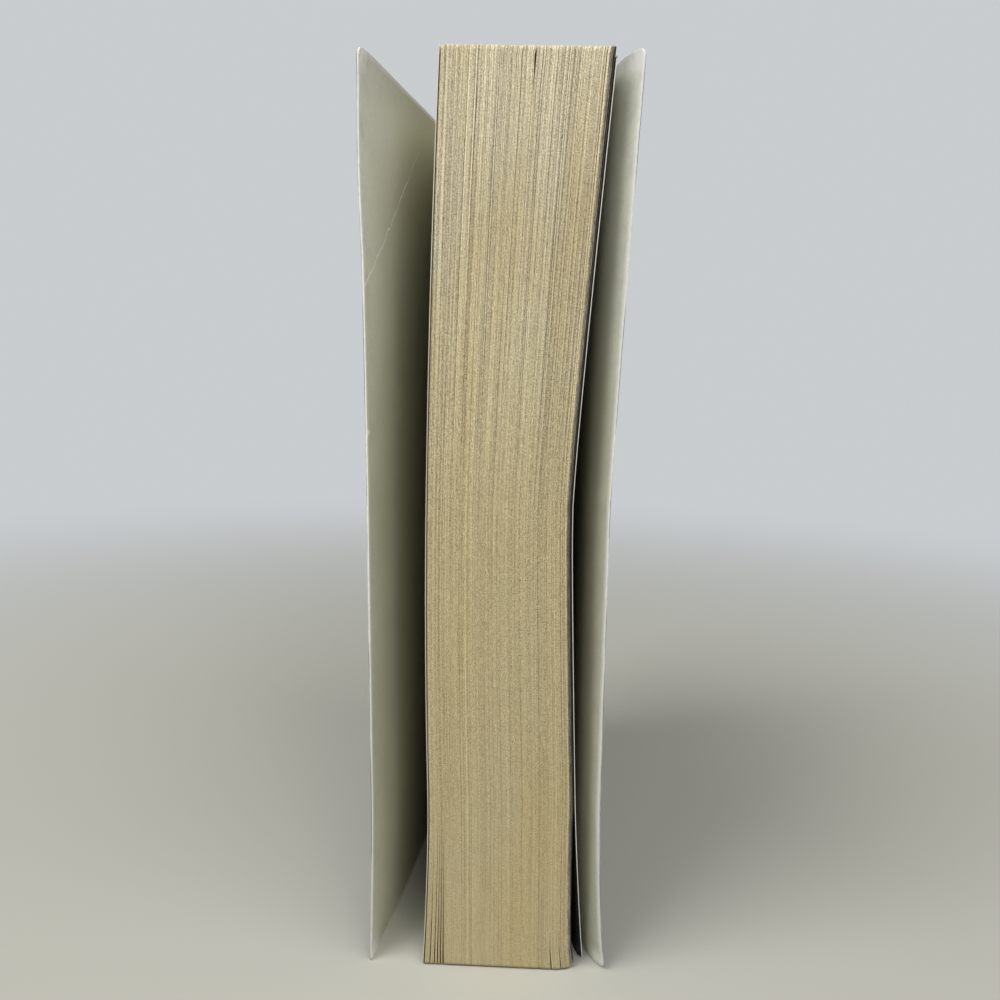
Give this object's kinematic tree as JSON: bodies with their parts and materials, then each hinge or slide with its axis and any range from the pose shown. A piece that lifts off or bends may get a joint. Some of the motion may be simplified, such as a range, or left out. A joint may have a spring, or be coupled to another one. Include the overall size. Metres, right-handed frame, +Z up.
{
  "type": "paperback book",
  "caption": "Worn mass-market paperback standing on its tail edge, pages fanned at the fore-edge and both card covers sprung open on hinge scores beside the spine.",
  "frame": {"origin": "middle of the page block's tail face, which the book stands on", "axes": "+Z up from the tail edge to the head edge, +Y from the fore-edge to the spine, +X across the thickness from the front cover to the back cover"},
  "size_m": [0.0515, 0.1099, 0.178],
  "materials": {
    "book_paper": "matte",
    "cover_card": "satin",
    "binding_glue": "satin"
  },
  "bodies": {
    "pages": {"page_block": "book_paper", "spine_glue": "binding_glue", "cover_spine": "cover_card"},
    "front_cover": {"front_cover": "cover_card"},
    "back_cover": {"back_cover": "cover_card"}
  },
  "joints": [
    {"name": "front_cover_hinge", "type": "hinge", "parent": "pages", "child": "front_cover", "pos_m": [-0.01465, 0.0485, 0], "axis": [0, 0, -1], "range_deg": [-4.6, 165], "stiffness_Nm_per_rad": 0.01},
    {"name": "back_cover_hinge", "type": "hinge", "parent": "pages", "child": "back_cover", "pos_m": [0.01465, 0.0485, 0], "axis": [0, 0, 1], "range_deg": [-0.6, 165], "stiffness_Nm_per_rad": 0.01}
  ]
}
